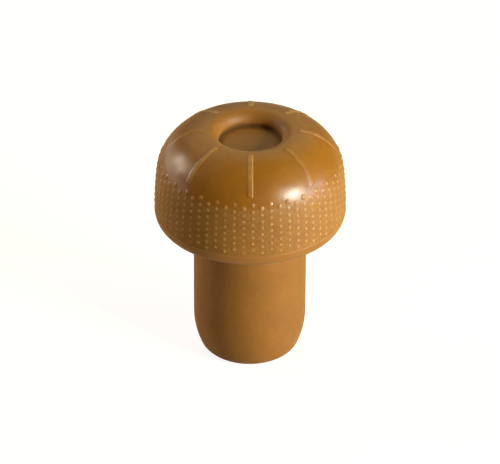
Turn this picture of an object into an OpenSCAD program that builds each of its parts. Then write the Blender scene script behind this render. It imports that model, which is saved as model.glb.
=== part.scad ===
// Bottle stopper, moulded in one piece: a straight plug with a soft nose under a domed grip head.
// The origin is the centre of the plug's flat foot. +Z runs up through the head, and -Y is the front.

/* [Plug] */
// Diameter of the straight plug that goes into the bottle neck
plug_d = 20.2; // [16:0.1:26]
// Length of the plug, from its flat foot to the underside of the head
plug_l = 26.2; // [18:0.1:45]
// Radius of the long curve that leads the plug into the neck
nose_r = 15.5; // [10:0.5:20]
// Angle through which that curve turns, in degrees
nose_turn = 22.5; // [10:0.5:30]
// Radius of the rounded edge between the nose and the flat foot
foot_edge_r = 2.3; // [0.5:0.1:4]

/* [Head] */
// Widest diameter of the head, at the parting line
head_d = 34.1; // [28:0.1:44]
// Height of the head, from its underside to its flat top
head_h = 18.5; // [15:0.1:24]
// Radius of the rounding between the widest ring and the underside
rim_r = 2.7; // [1:0.1:3.4]
// Angle by which the side wall leans inwards where it meets the shoulder, in degrees
wall_lean = 6.0; // [4:0.1:12]
// Radius of the shoulder between the side wall and the flat top
shoulder_r = 9.0; // [5:0.05:10]

/* [Recess in the top] */
// Diameter of the recess at its flat floor
recess_d = 11.4; // [6:0.1:14]
// Depth of the recess below the flat top
recess_depth = 2.4; // [2.2:0.1:6]
// Radius of the rounded lip around the recess
lip_r = 1.9; // [0.4:0.05:2.1]

/* [Ribs] */
// Number of raised ribs that run down the dome
rib_count = 8; // [3:1:12]
// Width of a rib
rib_w = 1.0; // [0.5:0.05:1.6]
// Height of a rib at its inner end, beside the recess
rib_h = 0.18; // [0.16:0.02:0.8]
// Height of a rib at its outer end, where it has almost run out
rib_end_h = 0.1; // [0.04:0.01:0.14]
// Gap between the lip of the recess and the inner end of a rib
rib_gap = 0.85; // [0.5:0.05:2.5]
// Clearance along the shoulder between the outer end of a rib and the highest bumps
rib_clear = 0.85; // [0.2:0.05:2]

/* [Grip bumps] */
// Columns of bumps around the head, always an even number
bump_columns = 64; // [32:2:76]
// Angle from the front rib round to the nearest column of bumps, in degrees
bump_turn = 1.5; // [0:0.1:2.8]
// Bumps in each column
bump_rows = 8; // [3:1:9]
// Distance along the wall between one bump and the next in a column
bump_pitch = 1.24; // [1.15:0.01:1.5]
// Distance along the wall from the parting line to the lowest bumps
bump_start = 0.95; // [0.8:0.05:2]
// Diameter of a bump where it meets the wall
bump_d = 0.75; // [0.6:0.05:1.1]
// Diameter of the larger bumps that end the columns at the shoulder
bump_end_d = 0.95; // [0.6:0.05:1.1]
// Height of a bump's rounded cap, as a share of its diameter
bump_rise = 0.1; // [0.08:0.01:0.4]
// Height of the fine upright edge under the cap
bump_edge = 0.03; // [0.02:0.01:0.1]

/* [Parting line] */
// Height of the fine bead that the mould left around the widest ring
seam_h = 0.06; // [0.03:0.01:0.15]
// Width of that bead
seam_w = 0.3; // [0.2:0.05:0.6]

/* [Hidden] */
$fn = 96;

// Degrees in a radian, the largest turn between two points of an arc, and how deep a raised
// feature is rooted below the surface that it stands on
RAD = 180 / PI;
ARC_STEP = 4;
RIB_ROOT = 0.6;
BUMP_ROOT = 0.2;

// The nose: its lead-in curve hangs below the straight plug, and the foot's edge below that
nose_cx = plug_d / 2 - nose_r;
foot_cx = nose_cx + (nose_r - foot_edge_r) * cos(nose_turn);
nose_h = foot_edge_r + (nose_r - foot_edge_r) * sin(nose_turn);

// Heights of the widest ring and of the flat top, and the outer radius of the recess's lip
seam_z = plug_l + rim_r;
top_z = plug_l + head_h;
lip_outer = recess_d / 2 + lip_r;

// The shoulder takes its own radius, or as much of it as the top leaves outside the lip
wall_slant = tan(wall_lean / 2);
shoulder_room = (head_d / 2 - lip_outer - (head_h - rim_r) * wall_slant)
    / (cos(wall_lean) - (1 - sin(wall_lean)) * wall_slant);
shoulder = min(shoulder_r, shoulder_room);

// The side: a slightly bowed wall that rises from the widest ring and runs into the shoulder
wall_r = (top_z - seam_z - shoulder * (1 - sin(wall_lean))) / sin(wall_lean);
wall_cx = head_d / 2 - wall_r;
wall_len = wall_r * wall_lean / RAD;
shoulder_cx = wall_cx + (wall_r - shoulder) * cos(wall_lean);
shoulder_cz = top_z - shoulder;

// A rib starts beside the lip and ends just above the highest bumps
band_end = bump_start + (bump_rows - 1 / 2) * bump_pitch + bump_end_d / 2;
rib_start = lip_outer + rib_gap;
rib_end_angle = wall_angle(band_end + rib_clear);
rib_lift = (rib_h - rib_end_h) / (1 - sin(rib_end_angle));
rib_arc_r = shoulder + rib_end_h - rib_lift * sin(rib_end_angle);
rib_meets_flat = rib_start < shoulder_cx;
rib_top_angle = rib_meets_flat ? 90 : acos((rib_start - shoulder_cx) / rib_arc_r);

// The bead's round section, sunk into the wall until only seam_h and seam_w of it show
seam_r = (seam_w * seam_w / 4 + seam_h * seam_h) / (2 * seam_h);

// Angle of the surface's normal above the horizontal, at distance s up the wall from the seam
function wall_angle(s) =
    s < wall_len ? s / wall_r * RAD : wall_lean + (s - wall_len) / shoulder * RAD;

// Radius and height of the surface at that distance
function wall_point(s) =
    let (a = wall_angle(s))
    s < wall_len
        ? [wall_cx + wall_r * cos(a), seam_z + wall_r * sin(a)]
        : [shoulder_cx + shoulder * cos(a), shoulder_cz + shoulder * sin(a)];

// Points along an arc, from one direction to another, both measured from the +X axis
function arc(cx, cz, r, from, to) =
    let (steps = ceil(abs(to - from) / ARC_STEP))
    [for (i = [0:steps]) let (a = from + (to - from) * i / steps) [cx + r * cos(a), cz + r * sin(a)]];

// Half of the section that the plug, the head and the recess share
module stopper_section() {
    polygon([
        [0, 0],
        each arc(foot_cx, foot_edge_r, foot_edge_r, -90, -nose_turn),
        each arc(nose_cx, nose_h, nose_r, -nose_turn, 0),
        [plug_d / 2, plug_l],
        each arc(head_d / 2 - rim_r, seam_z, rim_r, -90, 0),
        each arc(wall_cx, seam_z, wall_r, 0, wall_lean),
        each arc(shoulder_cx, shoulder_cz, shoulder, wall_lean, 90),
        each arc(lip_outer, top_z - lip_r, lip_r, 90, 180),
        [recess_d / 2, top_z - recess_depth],
        [0, top_z - recess_depth],
    ]);
}

// The turned shape starts between two columns of bumps, so none of them stands on its start line
module turned_body() {
    rotate(bump_turn + 1.5 * 360 / bump_columns) rotate_extrude() stopper_section();
}

// One rib along +X: its crest is the shoulder's arc lifted, so it runs out down the shoulder
module rib() {
    root = shoulder - RIB_ROOT;
    rotate([90, 0, 0])
        linear_extrude(rib_w, center = true)
            polygon([
                [rib_start, top_z - 2 * RIB_ROOT],
                [shoulder_cx + root * cos(rib_end_angle), shoulder_cz + root * sin(rib_end_angle)],
                each arc(shoulder_cx, shoulder_cz + rib_lift, rib_arc_r, rib_end_angle, rib_top_angle),
                if (rib_meets_flat) [rib_start, top_z + rib_h],
            ]);
}

module ribs() {
    for (i = [0:rib_count - 1]) rotate(i * 360 / rib_count - 90) rib();
}

// One bump at distance s up the wall, along +X: a short round stud under a spherical cap
module bump(s, d) {
    cap_h = bump_rise * d;
    cap_r = (d * d / 4 + cap_h * cap_h) / (2 * cap_h);
    at = wall_point(s);
    translate([at[0], 0, at[1]])
        rotate([0, 90 - wall_angle(s), 0])
            intersection() {
                translate([0, 0, -BUMP_ROOT]) cylinder(d = d, h = BUMP_ROOT + 1, $fn = 24);
                translate([0, 0, bump_edge + cap_h - cap_r]) rotate([90, 0, 0]) sphere(cap_r, $fn = 24);
            }
}

// Every other column stands half a pitch lower, so the bumps are staggered
module bumps() {
    for (c = [0:bump_columns - 1], k = [0:bump_rows - 1]) {
        s = bump_start + (k + (c % 2 == 0 ? 1 / 2 : 0)) * bump_pitch;
        rotate(bump_turn + c * 360 / bump_columns - 90)
            bump(s, k == bump_rows - 1 ? bump_end_d : bump_d);
    }
}

// The fine bead where the two halves of the mould met
module parting_line() {
    rotate_extrude() translate([head_d / 2 + seam_h - seam_r, seam_z]) circle(seam_r);
}

module stopper() {
    color([0.69, 0.45, 0.20])
        union() {
            turned_body();
            ribs();
            parting_line();
            bumps();
        }
}

stopper();
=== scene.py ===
"""Bottle stopper: one moulded plastic piece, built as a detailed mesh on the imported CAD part."""
import math
from types import SimpleNamespace

import bpy
import numpy as np
from mathutils import Matrix, Vector


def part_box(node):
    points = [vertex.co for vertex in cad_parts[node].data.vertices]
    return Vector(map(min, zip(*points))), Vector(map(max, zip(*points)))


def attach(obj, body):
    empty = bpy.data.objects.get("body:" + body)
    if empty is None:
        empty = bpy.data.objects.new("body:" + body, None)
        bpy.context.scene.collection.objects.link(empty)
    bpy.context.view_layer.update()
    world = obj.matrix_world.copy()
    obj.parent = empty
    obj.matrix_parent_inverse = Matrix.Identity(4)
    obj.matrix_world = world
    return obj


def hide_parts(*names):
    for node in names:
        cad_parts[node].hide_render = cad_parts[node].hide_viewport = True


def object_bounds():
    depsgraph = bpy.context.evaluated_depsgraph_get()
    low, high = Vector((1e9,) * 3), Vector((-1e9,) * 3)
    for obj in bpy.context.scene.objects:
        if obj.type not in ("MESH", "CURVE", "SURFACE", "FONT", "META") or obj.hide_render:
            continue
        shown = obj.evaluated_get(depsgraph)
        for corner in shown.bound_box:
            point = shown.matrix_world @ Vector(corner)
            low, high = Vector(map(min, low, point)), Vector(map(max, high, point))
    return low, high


MM = 0.001
NODE = "stopper"

# Sizes of the CAD model in millimetres and degrees, with radii where its source has diameters
PLUG_R = 10.1
PLUG_L = 26.2
NOSE_R = 15.5
NOSE_TURN = 22.5
FOOT_EDGE_R = 2.3
HEAD_R = 17.05
HEAD_H = 18.5
RIM_R = 2.7
WALL_LEAN = 6.0
SHOULDER_R = 9.0
RECESS_R = 5.7
RECESS_DEPTH = 2.4
LIP_R = 1.9
RIB_COUNT = 8
RIB_GAP = 0.85
RIB_CLEAR = 0.85
BUMP_COLUMNS = 64
BUMP_ROWS = 8
BUMP_PITCH = 1.24
BUMP_START = 0.95
BUMP_END_R = 0.475
BUMP_TURN = 1.5
SEAM_W = 0.3

# Sizes of this mesh only: its small fillets, and its raised parts, which are lower than the CAD's
NECK_FILLET = 0.3
FLOOR_FILLET = 0.1
SEAM_H = 0.036
RIB_H = 0.12
RIB_END_H = 0.06
BUMP_H = 0.075
BUMP_FOOT_R = 0.37
TOP_BUMP_H = 0.12
TOP_BUMP_FOOT_R = 0.47
# Shares by which a bump's height and radius vary, and the seed for that
BUMP_H_SPREAD = 0.1
BUMP_R_SPREAD = 0.05
SEED = 7

# The mesh has four lines for each column of bumps, and four rows for each bump in a column
LINES_PER_COLUMN = 4
LINES = BUMP_COLUMNS * LINES_PER_COLUMN
LINES_PER_RIB = LINES // RIB_COUNT
CELL = 4
# A bump is joined to the sixteen vertices round its cell. Its rings are shares of its foot's
# radius, and the two outermost lie on the wall.
BUMP_SIDES = 4 * CELL
BUMP_RINGS = (1.12, 1.0, 0.82, 0.62, 0.42, 0.21)
# Rings over the seam's bead, as shares of half its width, and above it, in millimetres
SEAM_RINGS = (-0.75, -0.5, -0.25, 0.0, 0.25, 0.5, 0.75)
STRIP_RINGS = (0.0, 0.08, 0.14)
# Lines of the mesh across half a rib: distance from its middle, and share of its full height
RIB_LINES = ((0.0, 1.0), (0.30, 0.98), (0.38, 0.84), (0.44, 0.50), (0.50, 0.16), (0.57, 0.0))
# A rib's foot reaches this far past its end, and it has its full height this far inside its end
RIB_FOOT = 0.03
RIB_RISE = 0.12
# Rings at a rib's outer and inner end, measured from that end up the dome
RIB_OUT_RINGS = (0.02, 0.07, RIB_RISE)
RIB_IN_RINGS = (-0.075, -0.03, RIB_FOOT)
# Rings between the bumps and the ribs, and on the ribs between their ends
STEPS_TO_RIBS = 4
STEPS_ALONG_RIBS = 23
# The lines between two ribs crowd towards the ribs by this power
CROWDING = 1.2
# Distances above the ribs at which the lines start to straighten, and at which the next ring lies
STRAIGHTEN_FROM = 0.05
PAST_RIBS = 0.2
# The fans that close the foot and the recess's floor have this share of the radius
FAN_SHARE = 1 / 3

# Derived sizes of the section. FLOOR_Z is the height of the recess's floor.
NOSE_CX = PLUG_R - NOSE_R
FOOT_CX = NOSE_CX + (NOSE_R - FOOT_EDGE_R) * math.cos(math.radians(NOSE_TURN))
NOSE_H = FOOT_EDGE_R + (NOSE_R - FOOT_EDGE_R) * math.sin(math.radians(NOSE_TURN))
SEAM_Z = PLUG_L + RIM_R
TOP_Z = PLUG_L + HEAD_H
FLOOR_Z = TOP_Z - RECESS_DEPTH
LIP_OUTER = RECESS_R + LIP_R
LEAN = math.radians(WALL_LEAN)
WALL_R = (TOP_Z - SEAM_Z - SHOULDER_R * (1 - math.sin(LEAN))) / math.sin(LEAN)
WALL_CX = HEAD_R - WALL_R
WALL_LEN = WALL_R * LEAN
SHOULDER_CX = WALL_CX + (WALL_R - SHOULDER_R) * math.cos(LEAN)
SHOULDER_CZ = TOP_Z - SHOULDER_R

# Rows of the mesh in the band of bumps, their spacing, and the azimuth of its first column
BAND_ROWS = CELL * BUMP_ROWS + CELL // 2
ROW_STEP = BUMP_PITCH / CELL
FIRST_COLUMN = math.radians(BUMP_TURN)

# Distances up the head's outside, from the seam: the band's two edges, the ribs' two ends, and
# the end of the shoulder, where the flat top begins
BAND_START = BUMP_START - BUMP_PITCH / 2
BAND_TOP = BAND_START + BAND_ROWS * ROW_STEP
RIB_OUT = BUMP_START + (BUMP_ROWS - 0.5) * BUMP_PITCH + BUMP_END_R + RIB_CLEAR
RIB_IN_ANGLE = math.acos((LIP_OUTER + RIB_GAP - SHOULDER_CX) / SHOULDER_R)
RIB_IN = WALL_LEN + SHOULDER_R * (RIB_IN_ANGLE - LEAN)
SHOULDER_END = WALL_LEN + SHOULDER_R * (math.pi / 2 - LEAN)


def smooth(x, x0, x1):
    """0 below x0, 1 above x1, and a smooth step between."""
    t = np.clip((x - x0) / (x1 - x0), 0, 1)
    return t * t * (3 - 2 * t)


def outside(s):
    """Radius, height and normal angle of the head's outside, at distance s up it from the seam."""
    s = np.asarray(s, float)
    on_wall = s < WALL_LEN
    angle = np.where(on_wall, s / WALL_R, LEAN + (s - WALL_LEN) / SHOULDER_R)
    angle = np.minimum(angle, math.pi / 2)
    cos, sin = np.cos(angle), np.sin(angle)
    r = np.where(on_wall, WALL_CX + WALL_R * cos, SHOULDER_CX + SHOULDER_R * cos)
    z = np.where(on_wall, SEAM_Z + WALL_R * sin, SHOULDER_CZ + SHOULDER_R * sin)
    return r - np.maximum(s - SHOULDER_END, 0), z, angle


def spin(r, azimuth, z):
    """Points at radius r and height z, at an azimuth from the front to the right."""
    return np.stack(np.broadcast_arrays(r * np.sin(azimuth), -r * np.cos(azimuth), z), -1)


def place(s, azimuth, lift=0.0):
    """Points on the head's outside, raised by lift along the surface's normal."""
    r, z, angle = outside(s)
    return spin(r + lift * np.cos(angle), azimuth, z + lift * np.sin(angle))


def even_lines(turn):
    """Azimuths of the mesh's lines when they are evenly spaced, the first one at turn."""
    return np.arange(LINES) * 2 * math.pi / LINES + turn


def arc(cx, cz, r, start, end, steps):
    """Points (radius, height) along an arc of the section, angles in degrees."""
    a = np.radians(np.linspace(start, end, steps + 1))
    return list(zip(cx + r * np.cos(a), cz + r * np.sin(a)))


def line(r0, z0, r1, z1, steps):
    """Points (radius, height) along a straight stretch of the section."""
    t = np.linspace(0, 1, steps + 1)
    return list(zip(r0 + (r1 - r0) * t, z0 + (z1 - z0) * t))


class Shell:
    """Collects vertices and faces. The rings go up the outside and down into the recess."""

    def __init__(self):
        self.points = []
        self.crests = []
        self.faces = []
        self.count = 0
        self.last = None
        self.azimuth = even_lines(0.0)

    def add(self, points, crest=0.0):
        """Adds vertices. crest is 1 on the top of a rib or bump, and 0 beside it."""
        points = np.asarray(points, float).reshape(-1, 3)
        ids = np.arange(self.count, self.count + len(points))
        self.points.append(points)
        self.crests.append(np.broadcast_to(np.asarray(crest, float), len(points)))
        self.count += len(points)
        return ids

    def bridge(self, low, high):
        """Joins two closed rings of the same length by a strip of faces."""
        for i in range(len(low)):
            j = (i + 1) % len(low)
            self.faces.append((low[i], low[j], high[j], high[i]))

    def ring(self, points, crest=0.0):
        """Adds a closed ring and joins it to the one before."""
        ids = self.add(points, crest)
        if self.last is not None:
            self.bridge(self.last, ids)
        self.last = ids

    def plain_rings(self, section):
        """Adds a round ring for each point (radius, height) of the section."""
        for r, z in section:
            self.ring(spin(r, self.azimuth, z))

    def cap(self, ring, z, flip=False):
        """Closes a ring by a fan round its centre. flip turns its faces to look down."""
        centre = int(self.add((0, 0, z))[0])
        for i in range(LINES):
            j = (i + 1) % LINES
            self.faces.append((ring[j], ring[i], centre) if flip else (ring[i], ring[j], centre))


def build_below(shell):
    """Foot, nose, plug, underside and rim, up to the seam's lower edge."""
    neck = PLUG_R + NECK_FILLET
    foot = line(FOOT_CX * FAN_SHARE, 0, FOOT_CX, 0, steps=2)
    edge = arc(FOOT_CX, FOOT_EDGE_R, FOOT_EDGE_R, -90, -NOSE_TURN, steps=10)
    nose = arc(NOSE_CX, NOSE_H, NOSE_R, -NOSE_TURN, 0, steps=12)
    plug = line(PLUG_R, NOSE_H, PLUG_R, PLUG_L - NECK_FILLET, steps=10)
    round_out = arc(neck, PLUG_L - NECK_FILLET, NECK_FILLET, 0, 90, steps=4)
    fillet = [(2 * neck - r, z) for r, z in round_out]
    under = line(neck, PLUG_L, HEAD_R - RIM_R, PLUG_L, steps=3)
    seam_edge = -math.degrees(SEAM_W / 2 / RIM_R)
    rim = arc(HEAD_R - RIM_R, SEAM_Z, RIM_R, -90, seam_edge, steps=14)
    shell.plain_rings(foot[:1])
    innermost = shell.last
    shell.plain_rings(foot[1:])
    shell.cap(innermost, 0, flip=True)
    for part in (edge, nose, plug, fillet, under, rim):
        shell.plain_rings(part[1:])


def build_seam(shell):
    """The fine bead round the widest ring, and the plain strip above it."""
    for t in SEAM_RINGS:
        lift = SEAM_H * math.sqrt(1 - t * t)
        s = t * SEAM_W / 2
        if s < 0:
            r = HEAD_R - RIM_R + (RIM_R + lift) * math.cos(s / RIM_R)
            z = SEAM_Z + (RIM_R + lift) * math.sin(s / RIM_R)
            shell.plain_rings([(r, z)])
        else:
            shell.ring(place(s, shell.azimuth, lift))
    for above in STRIP_RINGS:
        shell.ring(place(SEAM_W / 2 + above, shell.azimuth))


def bump_cells():
    """Column and row of each bump, with the lowest row of the mesh in its cell."""
    for column in range(BUMP_COLUMNS):
        raised = CELL // 2 if column % 2 == 0 else 0
        for k in range(BUMP_ROWS):
            yield column, k, raised + CELL * k


def cell_border(rows, column, q):
    """The vertices round a bump's cell, anticlockwise from the middle of its right side."""
    lines = [(column * LINES_PER_COLUMN + i) % LINES for i in range(-2, 3)]
    right = [rows[q + i][lines[4]] for i in (2, 3, 4)]
    top = [rows[q + 4][lines[i]] for i in (3, 2, 1, 0)]
    left = [rows[q + i][lines[0]] for i in (3, 2, 1, 0)]
    bottom = [rows[q][lines[i]] for i in (1, 2, 3, 4)]
    return right + top + left + bottom + [rows[q + 1][lines[4]]]


def build_bump(shell, rows, column, k, q, rng):
    """One bump in its cell: rings of a soft round dome, joined to the cell's border."""
    last = k == BUMP_ROWS - 1
    height = (TOP_BUMP_H if last else BUMP_H) * (1 + rng.uniform(-1, 1) * BUMP_H_SPREAD)
    foot_r = (TOP_BUMP_FOOT_R if last else BUMP_FOOT_R) * (1 + rng.uniform(-1, 1) * BUMP_R_SPREAD)
    s0 = BAND_START + (q + CELL / 2) * ROW_STEP
    r0 = float(outside(s0)[0])
    azimuth = column * 2 * math.pi / BUMP_COLUMNS + FIRST_COLUMN
    turn = np.arange(BUMP_SIDES) * 2 * math.pi / BUMP_SIDES
    outer = cell_border(rows, column, q)
    for t in BUMP_RINGS:
        s = s0 + foot_r * t * np.sin(turn)
        rise = max(1 - t * t, 0)
        points = place(s, azimuth + foot_r * t * np.cos(turn) / r0, height * rise)
        inner = shell.add(points, rise)
        shell.bridge(outer, inner)
        outer = inner
    centre = int(shell.add(place(s0, azimuth, height), 1)[0])
    for i in range(BUMP_SIDES):
        shell.faces.append((outer[i], outer[(i + 1) % BUMP_SIDES], centre))


def build_band(shell):
    """The band of staggered bumps: a grid whose bump cells are filled by the bumps."""
    rng = np.random.default_rng(SEED)
    taken = set()
    for column, _, q in bump_cells():
        for dq in range(CELL):
            for dj in range(-2, 2):
                taken.add((q + dq, (column * LINES_PER_COLUMN + dj) % LINES))
    rows = []
    for q in range(BAND_ROWS + 1):
        rows.append(shell.add(place(BAND_START + q * ROW_STEP, shell.azimuth)))
    shell.bridge(shell.last, rows[0])
    for q in range(BAND_ROWS):
        for j in range(LINES):
            if (q, j) not in taken:
                n = (j + 1) % LINES
                shell.faces.append((rows[q][j], rows[q][n], rows[q + 1][n], rows[q + 1][j]))
    for column, k, q in bump_cells():
        build_bump(shell, rows, column, k, q, rng)
    shell.last = rows[-1]


def rib_height(s):
    """A rib's height above the dome at distance s up the outside, and its share of a full rib."""
    out_angle = float(outside(RIB_OUT)[2])
    angle = float(outside(s)[2])
    lift = (RIB_H - RIB_END_H) / (1 - math.sin(out_angle))
    crest = RIB_END_H + lift * (math.sin(angle) - math.sin(out_angle))
    outer = smooth(s, RIB_OUT - RIB_FOOT, RIB_OUT + RIB_RISE)
    inner = 1 - smooth(s, RIB_IN - RIB_RISE, RIB_IN + RIB_FOOT)
    return crest * float(outer * inner), float(outer * inner)


def dome_ring(s):
    """Azimuths, lifts and crests of one ring on the dome, whose lines gather along the ribs' sides."""
    r = float(outside(s)[0])
    half = LINES_PER_RIB // 2
    even = 2 * math.pi / LINES
    side_line = len(RIB_LINES) - 1
    side = RIB_LINES[side_line][0] / r
    turned = float(smooth(s, BAND_TOP, RIB_OUT - RIB_FOOT))
    gathered = turned * (1 - float(smooth(s, RIB_IN + STRAIGHTEN_FROM, SHOULDER_END)))
    azimuth = np.zeros(LINES)
    share = np.zeros(LINES)
    for j in range(LINES):
        rib = round(j / LINES_PER_RIB)
        offset = j - rib * LINES_PER_RIB
        k = abs(offset)
        if k <= side_line:
            near = RIB_LINES[k][0] / r
            share[j] = RIB_LINES[k][1]
        else:
            t = (k - side_line) / (half - side_line)
            near = side + (half * even - side) * t ** CROWDING
        angle = (1 - gathered) * k * even + gathered * near
        azimuth[j] = rib * LINES_PER_RIB * even + math.copysign(angle, offset)
    height, full = rib_height(s)
    return azimuth + FIRST_COLUMN * (1 - turned), share * height, np.minimum(share * 2, 1) * full


def build_dome(shell):
    """The smooth dome with its ribs, up to the edge of the lip."""
    flat_end = SHOULDER_END + SHOULDER_CX - LIP_OUTER
    below = np.linspace(BAND_TOP, RIB_OUT - RIB_FOOT, STEPS_TO_RIBS + 1)[1:]
    body = np.linspace(RIB_OUT + RIB_RISE, RIB_IN - RIB_RISE, STEPS_ALONG_RIBS + 1)[1:]
    outer = [RIB_OUT + d for d in RIB_OUT_RINGS]
    inner = [RIB_IN + d for d in RIB_IN_RINGS]
    above = [RIB_IN + PAST_RIBS, SHOULDER_END, (SHOULDER_END + flat_end) / 2, flat_end]
    for s in (*below, *outer, *body, *inner, *above):
        azimuth, lift, crest = dome_ring(s)
        shell.ring(place(s, azimuth, lift), crest)


def build_recess(shell):
    """The rounded lip, the recess's wall and its flat floor."""
    floor_edge = RECESS_R - FLOOR_FILLET
    wall_foot = FLOOR_Z + FLOOR_FILLET
    lip = arc(LIP_OUTER, TOP_Z - LIP_R, LIP_R, 90, 180, steps=14)
    wall = line(RECESS_R, TOP_Z - LIP_R, RECESS_R, wall_foot, steps=2)
    fillet = arc(floor_edge, wall_foot, FLOOR_FILLET, 0, -90, steps=4)
    floor = line(floor_edge, FLOOR_Z, RECESS_R * FAN_SHARE, FLOOR_Z, steps=2)
    for part in (lip, wall, fillet, floor):
        shell.plain_rings(part[1:])
    shell.cap(shell.last, FLOOR_Z)


def build_shell():
    """All of the stopper's surface. The lines follow the bumps below, and the ribs above."""
    shell = Shell()
    shell.azimuth = even_lines(FIRST_COLUMN)
    build_below(shell)
    build_seam(shell)
    build_band(shell)
    shell.azimuth = even_lines(0.0)
    build_dome(shell)
    build_recess(shell)
    return shell


def build_stopper():
    """The stopper's mesh object, with its foot where the CAD node has it."""
    shell = build_shell()
    low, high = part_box(NODE)
    foot = np.array(((low.x + high.x) / 2, (low.y + high.y) / 2, low.z))
    points = np.concatenate(shell.points) * MM + foot
    mesh = bpy.data.meshes.new("stopper_body")
    mesh.from_pydata(points.tolist(), [], [tuple(int(i) for i in f) for f in shell.faces])
    mesh.validate()
    mesh.polygons.foreach_set("use_smooth", np.ones(len(mesh.polygons), bool))
    crest = mesh.attributes.new("crest", "FLOAT", "POINT")
    crest.data.foreach_set("value", np.concatenate(shell.crests).astype(np.float32))
    mesh.update()
    return add_object("stopper_body", mesh)


def add_object(name, data):
    """A new object in the scene."""
    new = bpy.data.objects.new(name, data)
    bpy.context.scene.collection.objects.link(new)
    return new


# ---- materials ----

# Heights in millimetres between which one finish passes into the next
BAND_TOP_Z = float(outside(BAND_TOP)[1])
HEAD_FADE = (PLUG_L - 0.05, PLUG_L + 0.3)
SEAM_FADE = (SEAM_Z + 0.1, SEAM_Z + 0.5)
DOME_FADE = (BAND_TOP_Z - 1.8, BAND_TOP_Z - 0.8)
TOP_BUMP_FADE = (TOP_Z - 5.2, TOP_Z - 4.8)
RIB_FADE = (TOP_Z - 4.6, TOP_Z - 0.5)
RECESS_FADE = (FLOOR_Z - 0.6, FLOOR_Z - 0.1)
FLOOR_FADE = (FLOOR_Z + 0.1, FLOOR_Z + 0.3)
WALL_FADE = (FLOOR_Z + 0.1, FLOOR_Z + 0.4)
# The same for distances from the axis, from the corner of the recess, and from a faint rib's middle
LIP_FADE = (LIP_OUTER - 1.0, LIP_OUTER)
CORNER_FADE = (0.3, 1.7)
FAINT_RIB_FADE = (5.0, 8.0)

# Sizes of the noises in millimetres
CLOUD_SIZE = 7.0
UNEVEN_SIZE = 1.6
MOTTLE_SIZE = 1.1
GRAIN_SIZE = 0.30
# Values of a noise between which its effect rises from none to full
CLOUD_RANGE = (0.3, 0.7)
UNEVEN_RANGE = (0.35, 0.65)
MOTTLE_RANGE = (0.35, 0.75)
MOTTLE_ROUGH_RANGE = (0.3, 0.7)
SPECK_RANGE = (0.45, 0.75)

# Plain tones, each between two shades, and the tones laid over them with their largest share
DOME_TONES = ((0.40, 0.156, 0.011), (0.45, 0.176, 0.014))
BAND_TONES = ((0.385, 0.165, 0.031), (0.435, 0.188, 0.039))
PLUG_TONES = ((0.380, 0.159, 0.027), (0.429, 0.182, 0.034))
MOTTLE_SHARE, MOTTLE_TONE = 0.45, (0.35, 0.136, 0.010)
# Painted bounce light: the rim's strip under the seam gets a lighter tone, as if lit from the floor
# below
RIM_BOUNCE_SHARE, RIM_BOUNCE_TONE = 0.7, (0.52, 0.23, 0.055)
# Painted shade: the recess's floor gets a darker tone
RECESS_FLOOR_SHADE_SHARE, RECESS_FLOOR_SHADE = 0.6, (0.34, 0.135, 0.002)
# Painted shade: a dark tone where the recess's wall meets its floor
CORNER_SHARE, CORNER_SHADE_TONE = 0.75, (0.12, 0.04, 0.0)
SPECK_SHARE, SPECK_TONE = 0.7, (0.58, 0.29, 0.06)
# Lighter tone on the crests of ribs and bumps: partly their own lighter colour, partly painted glints
# and glow of light on them
RAISED_TONE_AND_GLINT = (0.64, 0.38, 0.13)

# Shares of the raised tone at a rib's outer and inner end, and on bumps
RIB_SHARES = (0.12, 0.60)
BUMP_SHARE = 0.85
# What is left of those shares on the two fainter ribs, on bumps on the smooth dome, and where the
# tone's own unevenness takes most of it away
FAINT_RIB_SHARE = 0.4
SMOOTH_BUMP_SHARE = 0.7
UNEVEN_SHARE = 0.55
# Middles, in millimetres, of the two ribs whose lighter crest tone is made fainter
FAINT_RIB_MIDDLES = ((8.3, -8.3, 43.0), (-11.8, 0.0, 43.0))

# The corner's painted shade reaches further along the recess's floor than up its wall
CORNER_SQUEEZE = 1.8

# Roughness of dome and band, what is added to it elsewhere, and the change on crests of each. The
# recess's floor takes only a share of what is added in the recess.
DOME_ROUGH, BAND_ROUGH = 0.31, 0.50
MOTTLE_ROUGH = (-0.02, 0.05)
PLUG_ROUGH = 0.12
RECESS_ROUGH = 0.26
FLOOR_ROUGH_SHARE = 0.5
CORNER_ROUGH = 0.55
CREST_ROUGH = (0.12, -0.05)

# Relief in millimetres: the grain's on dome and band, and that of the two larger noises
GRAIN_RELIEF = (0.002, 0.030)
CLOUD_RELIEF = 0.010
MOTTLE_RELIEF = 0.014


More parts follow.
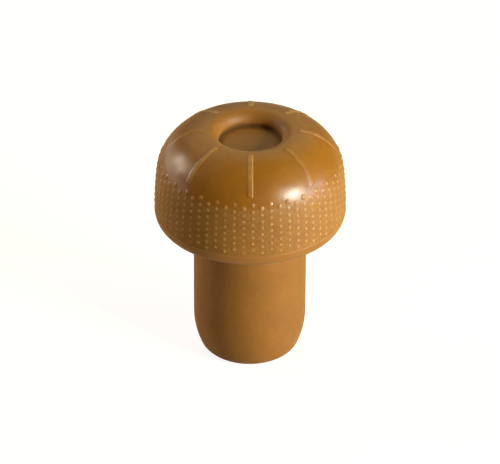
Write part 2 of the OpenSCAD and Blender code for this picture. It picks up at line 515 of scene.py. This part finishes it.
class Nodes:
    """Short calls for making and linking shader nodes."""

    def __init__(self, tree):
        self.tree = tree
        tree.nodes.clear()

    def put(self, socket, value):
        """Links an output to the socket, or sets the socket's own value."""
        if isinstance(value, bpy.types.NodeSocket):
            self.tree.links.new(value, socket)
        else:
            socket.default_value = value

    def make(self, kind, values=None, **settings):
        """A new node with its settings, and the values or links of its inputs."""
        node = self.tree.nodes.new(kind)
        for key, value in settings.items():
            setattr(node, key, value)
        for name, value in (values or {}).items():
            self.put(node.inputs[name], value)
        return node

    def calc(self, operation, a, b, clamp=False):
        """One step of arithmetic."""
        node = self.make("ShaderNodeMath", {0: a, 1: b}, operation=operation, use_clamp=clamp)
        return node.outputs[0]

    def product(self, first, *others):
        """All the values multiplied."""
        for value in others:
            first = self.calc("MULTIPLY", first, value)
        return first

    def total(self, first, *others):
        """All the values added up."""
        for value in others:
            first = self.calc("ADD", first, value)
        return first

    def vector(self, operation, a, b=(0, 0, 0)):
        """One step of vector arithmetic. Its node has an output for a vector and one for a value."""
        return self.make("ShaderNodeVectorMath", {0: a, 1: b}, operation=operation).outputs

    def span(self, value, x0, x1, y0=0.0, y1=1.0):
        """Maps value from x0..x1 to y0..y1 by a smooth step."""
        wanted = {"Value": value, "From Min": x0, "From Max": x1, "To Min": y0, "To Max": y1}
        return self.make("ShaderNodeMapRange", wanted, interpolation_type="SMOOTHSTEP").outputs[0]

    def fade(self, value, stretch, y0=0.0, y1=1.0):
        """Maps a length over a stretch given in millimetres to y0..y1 by a smooth step."""
        return self.span(value, stretch[0] * MM, stretch[1] * MM, y0, y1)

    def noise(self, vector, size, detail=2.0, roughness=0.5):
        """Noise whose features have a size given in millimetres."""
        wanted = {"Vector": vector, "Scale": 1 / (size * MM), "Detail": detail, "Roughness": roughness}
        return self.make("ShaderNodeTexNoise", wanted).outputs[0]

    def mix_colour(self, factor, a, b):
        """Colour a where factor is 0, and colour b where it is 1."""
        node = self.make("ShaderNodeMix", data_type="RGBA")
        self.put(node.inputs[0], factor)
        for socket, colour in ((node.inputs[6], a), (node.inputs[7], b)):
            self.put(socket, (*colour, 1) if isinstance(colour, tuple) else colour)
        return node.outputs[2]


def new_material(name):
    """An empty node material, and the calls that fill it."""
    material = bpy.data.materials.new(name)
    material.use_nodes = True
    return material, Nodes(material.node_tree)


def plastic_places(n):
    """Masks for the parts of the stopper, and the noises, which all of the finish shares."""
    m = SimpleNamespace()
    m.point = n.make("ShaderNodeTexCoord").outputs["Object"]
    m.z = n.make("ShaderNodeSeparateXYZ", {0: m.point}).outputs[2]
    m.cloud = n.noise(m.point, CLOUD_SIZE)
    m.mottle = n.noise(m.point, MOTTLE_SIZE, detail=3.0)
    m.grain = n.noise(m.point, GRAIN_SIZE, roughness=0.6)
    m.crest = n.make("ShaderNodeAttribute", attribute_name="crest").outputs["Fac"]

    m.head = n.fade(m.z, HEAD_FADE)
    m.above_seam = n.fade(m.z, SEAM_FADE)
    m.below_dome = n.fade(m.z, DOME_FADE, 1.0, 0.0)
    m.grained = n.product(m.above_seam, m.below_dome)

    from_axis = n.vector("LENGTH", n.vector("MULTIPLY", m.point, (1, 1, 0))["Vector"])["Value"]
    within_lip = n.fade(from_axis, LIP_FADE, 1.0, 0.0)
    in_recess = n.product(within_lip, n.fade(m.z, RECESS_FADE))
    m.recess = n.product(in_recess, n.fade(m.z, WALL_FADE, FLOOR_ROUGH_SHARE, 1.0))
    # The recess's floor, where shade is painted
    m.floor = n.product(in_recess, n.fade(m.z, FLOOR_FADE, 1.0, 0.0))
    # The corner of the recess: painted shade there, and a rougher surface
    from_corner = n.calc("SUBTRACT", from_axis, RECESS_R * MM)
    above_floor = n.calc("SUBTRACT", m.z, FLOOR_Z * MM)
    above_floor = n.product(above_floor, CORNER_SQUEEZE)
    to_corner = n.make("ShaderNodeCombineXYZ", {0: from_corner, 1: above_floor}).outputs[0]
    corner = n.fade(n.vector("LENGTH", to_corner)["Value"], CORNER_FADE, CORNER_SHARE, 0.0)
    m.corner = n.product(corner, within_lip)
    return m


def raised_tone_and_glint_share(n, m):
    """How much of the crests' lighter tone, partly their own colour and partly painted glints and
    glow, ribs and bumps show.
    """
    ribs = n.fade(m.z, RIB_FADE, *RIB_SHARES)
    for middle in FAINT_RIB_MIDDLES:
        away = n.vector("DISTANCE", m.point, Vector(middle) * MM)["Value"]
        ribs = n.product(ribs, n.fade(away, FAINT_RIB_FADE, FAINT_RIB_SHARE, 1.0))
    bumps = n.fade(m.z, TOP_BUMP_FADE, BUMP_SHARE, 0.0)
    bumps = n.product(bumps, n.span(m.grained, 0.0, 1.0, SMOOTH_BUMP_SHARE, 1.0))
    uneven = n.noise(m.point, UNEVEN_SIZE, detail=1.0)
    uneven = n.span(uneven, *UNEVEN_RANGE, UNEVEN_SHARE, 1.0)
    return n.product(m.crest, n.calc("MAXIMUM", bumps, ribs), uneven)


def plastic_tone(n, m):
    """Base colour: three plain tones, clouded and mottled, with the other tones laid over them, among
    them painted bounce light, painted shade and painted glints.
    """
    drift = n.span(m.cloud, *CLOUD_RANGE)
    dome = n.mix_colour(drift, *DOME_TONES)
    band = n.mix_colour(drift, *BAND_TONES)
    plug = n.mix_colour(drift, *PLUG_TONES)
    tone = n.mix_colour(m.below_dome, dome, band)
    tone = n.mix_colour(m.head, plug, tone)
    mottled = n.span(m.mottle, *MOTTLE_RANGE, 0.0, MOTTLE_SHARE)
    tone = n.mix_colour(mottled, tone, MOTTLE_TONE)
    # Painted bounce light: a lighter tone on the rim's strip between the underside and the seam
    rim = n.calc("SUBTRACT", m.head, m.above_seam, clamp=True)
    tone = n.mix_colour(n.product(rim, RIM_BOUNCE_SHARE), tone, RIM_BOUNCE_TONE)
    # Painted shade: the recess's floor darkened
    tone = n.mix_colour(n.product(m.floor, RECESS_FLOOR_SHADE_SHARE), tone, RECESS_FLOOR_SHADE)
    # Painted shade in the corner where the recess's wall meets its floor
    tone = n.mix_colour(m.corner, tone, CORNER_SHADE_TONE)
    speck = n.product(n.span(m.grain, *SPECK_RANGE), m.grained)
    tone = n.mix_colour(n.product(speck, SPECK_SHARE), tone, SPECK_TONE)
    # The crests' lighter tone: partly their own colour, partly painted glints and glow
    return n.mix_colour(raised_tone_and_glint_share(n, m), tone, RAISED_TONE_AND_GLINT)


def plastic_roughness(n, m):
    """Glossy on the dome, and duller on the band, on the plug and in the recess."""
    return n.total(
        n.span(m.grained, 0.0, 1.0, DOME_ROUGH, BAND_ROUGH),
        n.span(m.mottle, *MOTTLE_ROUGH_RANGE, *MOTTLE_ROUGH),
        n.span(m.head, 0.0, 1.0, PLUG_ROUGH, 0.0),
        n.product(m.recess, RECESS_ROUGH),
        n.product(m.corner, CORNER_ROUGH),
        n.product(m.crest, n.span(m.grained, 0.0, 1.0, *CREST_ROUGH)),
    )


def plastic_relief(n, m):
    """The normal of a surface with fine grain on the band, and slightly uneven all over."""
    height = n.total(
        n.product(m.grain, n.span(m.grained, 0.0, 1.0, *GRAIN_RELIEF)),
        n.product(m.cloud, CLOUD_RELIEF),
        n.product(m.mottle, MOTTLE_RELIEF),
    )
    return n.make("ShaderNodeBump", {"Strength": 1.0, "Distance": MM, "Height": height}).outputs[0]


def plastic_material():
    """Caramel plastic: a smooth glossy dome, a finely grained band, and a satin plug."""
    material, n = new_material("moulded_plastic")
    m = plastic_places(n)
    shader = n.make("ShaderNodeBsdfPrincipled", {
        "Base Color": plastic_tone(n, m),
        "Roughness": plastic_roughness(n, m),
        "Normal": plastic_relief(n, m),
        "IOR": 1.58,
        "Sheen Weight": 0.12,
        "Sheen Roughness": 0.3,
        "Sheen Tint": (1.0, 0.92, 0.80, 1),
        "Subsurface Weight": 1.0,
        "Subsurface Scale": MM,
        "Subsurface Radius": (0.6, 0.4, 0.25),
    })
    n.make("ShaderNodeOutputMaterial", {"Surface": shader.outputs[0]})
    return material


# ---- stage ----

# The floor under the object: half its side in metres, and its gap under the foot in millimetres,
# so that the two never share a plane
STAGE_HALF = 1.5
STAGE_GAP = 0.02
# Its matte colour, its glow's colour, and how strongly the camera and reflections see that glow
STAGE_MATTE = (0.46, 0.35, 0.15, 1)
STAGE_GLOW = (0.94, 0.96, 1.0, 1)
STAGE_SEEN = 0.90
STAGE_MIRRORED = 0.10
# The world's strength to the camera, and to everything else
WORLD_SEEN = 1.0
WORLD_LIGHT = 0.01

# Softboxes: azimuth from the front to the right, elevation, distance in metres, width and height
# in metres, watts, and colour
SOFTBOXES = {
    "key_core": (54, 20.5, 0.6, (0.14, 0.14), 3.75, (0.95, 1.0, 0.86)),
    "key_side": (76, 9, 0.6, (0.40, 0.26), 0.80, (0.98, 1.06, 1.06)),
    "key_low": (75, 4, 0.6, (0.50, 0.16), 0.75, (0.98, 1.06, 1.35)),
    "right_high": (90, 45, 0.6, (0.40, 0.40), 0.20, (1.0, 1.0, 0.7)),
    "left_rear": (-114, 24, 0.6, (0.22, 0.20), 1.13, (1.05, 0.93, 0.72)),
    "left_low": (-116, 3, 0.6, (0.80, 0.14), 0.64, (1.0, 0.95, 0.80)),
    "left_high": (-120, 55, 0.6, (0.40, 0.40), 0.17, (1.0, 0.9, 0.5)),
    "rear_high": (180, 45, 0.7, (0.8, 0.4), 0.68, (1.0, 0.97, 0.60)),
    "rear_low": (180, 20, 0.7, (0.8, 0.4), 0.25, (1.0, 0.97, 0.70)),
}

# The camera: height of the point it looks at, in millimetres above the foot, then its elevation
# and roll in degrees, its distance in metres, and its lens and sensor in millimetres
AIM_HEIGHT = 23.5
CAMERA_ELEVATION = 32.3
CAMERA_ROLL = 0.27
CAMERA_DISTANCE = 0.70
CAMERA_LENS = 281.2
CAMERA_SENSOR = 36.0


def floor_material():
    """White to the camera by a glow of its own. Its matte part holds the shadow and warms bounces."""
    material, n = new_material("floor_white")
    path = n.make("ShaderNodeLightPath").outputs
    seen = n.product(path["Is Camera Ray"], STAGE_SEEN)
    mirrored = n.product(path["Is Glossy Ray"], STAGE_MIRRORED)
    strength = n.total(seen, mirrored)
    matte = n.make("ShaderNodeBsdfDiffuse", {"Color": STAGE_MATTE}).outputs[0]
    glow = n.make("ShaderNodeEmission", {"Color": STAGE_GLOW, "Strength": strength}).outputs[0]
    both = n.make("ShaderNodeAddShader", {0: matte, 1: glow}).outputs[0]
    n.make("ShaderNodeOutputMaterial", {"Surface": both})
    return material


def build_floor(z):
    """A flat square floor at height z."""
    mesh = bpy.data.meshes.new("floor")
    sides = ((-1, -1), (1, -1), (1, 1), (-1, 1))
    corners = [(x * STAGE_HALF, y * STAGE_HALF, z) for x, y in sides]
    mesh.from_pydata(corners, [], [(0, 1, 2, 3)])
    mesh.materials.append(floor_material())
    return add_object("floor", mesh)


def aim(obj, position, target, roll=0.0):
    """Puts a lamp or camera at position and points its -Z at target."""
    turn = (Vector(target) - Vector(position)).to_track_quat("-Z", "Y").to_matrix().to_4x4()
    obj.matrix_world = Matrix.Translation(position) @ turn @ Matrix.Rotation(roll, 4, "Z")


def around(target, azimuth, elevation, distance):
    """A point seen from target at an azimuth from the front, to the right, and an elevation."""
    a, e = math.radians(azimuth), math.radians(elevation)
    step = Vector((math.sin(a) * math.cos(e), -math.cos(a) * math.cos(e), math.sin(e)))
    return Vector(target) + step * distance


def build_softboxes(target):
    """Large soft lamps round the target."""
    for name, (azimuth, elevation, distance, size, power, colour) in SOFTBOXES.items():
        data = bpy.data.lights.new(name, "AREA")
        data.shape = "RECTANGLE"
        data.size, data.size_y = size
        data.energy = power
        data.color = colour
        aim(add_object(name, data), around(target, azimuth, elevation, distance), target)


def build_world():
    """White where the camera sees it, and almost dark as a light."""
    world = bpy.data.worlds.new("studio")
    bpy.context.scene.world = world
    world.use_nodes = True
    n = Nodes(world.node_tree)
    camera = n.make("ShaderNodeLightPath").outputs["Is Camera Ray"]
    strength = n.span(camera, 0.0, 1.0, WORLD_LIGHT, WORLD_SEEN)
    back = n.make("ShaderNodeBackground", {"Color": (1, 1, 1, 1), "Strength": strength}).outputs[0]
    n.make("ShaderNodeOutputWorld", {"Surface": back})


def build_camera(target):
    """The camera at the photo's viewing angle."""
    data = bpy.data.cameras.new("camera")
    data.sensor_width = CAMERA_SENSOR
    data.lens = CAMERA_LENS
    camera = add_object("camera", data)
    position = around(target, 0, CAMERA_ELEVATION, CAMERA_DISTANCE)
    aim(camera, position, target, math.radians(CAMERA_ROLL))
    bpy.context.scene.camera = camera


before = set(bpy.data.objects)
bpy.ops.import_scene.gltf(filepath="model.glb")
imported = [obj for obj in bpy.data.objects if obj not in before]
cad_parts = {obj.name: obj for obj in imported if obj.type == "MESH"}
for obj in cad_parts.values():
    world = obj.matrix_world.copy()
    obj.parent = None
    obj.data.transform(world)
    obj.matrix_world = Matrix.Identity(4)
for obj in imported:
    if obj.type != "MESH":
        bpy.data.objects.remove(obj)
cad_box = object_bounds()
low, high = cad_box
middle = (low + high) / 2
aim_point = Vector((middle.x, middle.y, low.z + AIM_HEIGHT * MM))

stopper = build_stopper()
stopper.data.materials.append(plastic_material())
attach(stopper, "root")
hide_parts(NODE)

build_floor(low.z - STAGE_GAP * MM)
build_world()
build_softboxes(aim_point)
build_camera(aim_point)
bpy.context.scene.view_settings.view_transform = "Standard"
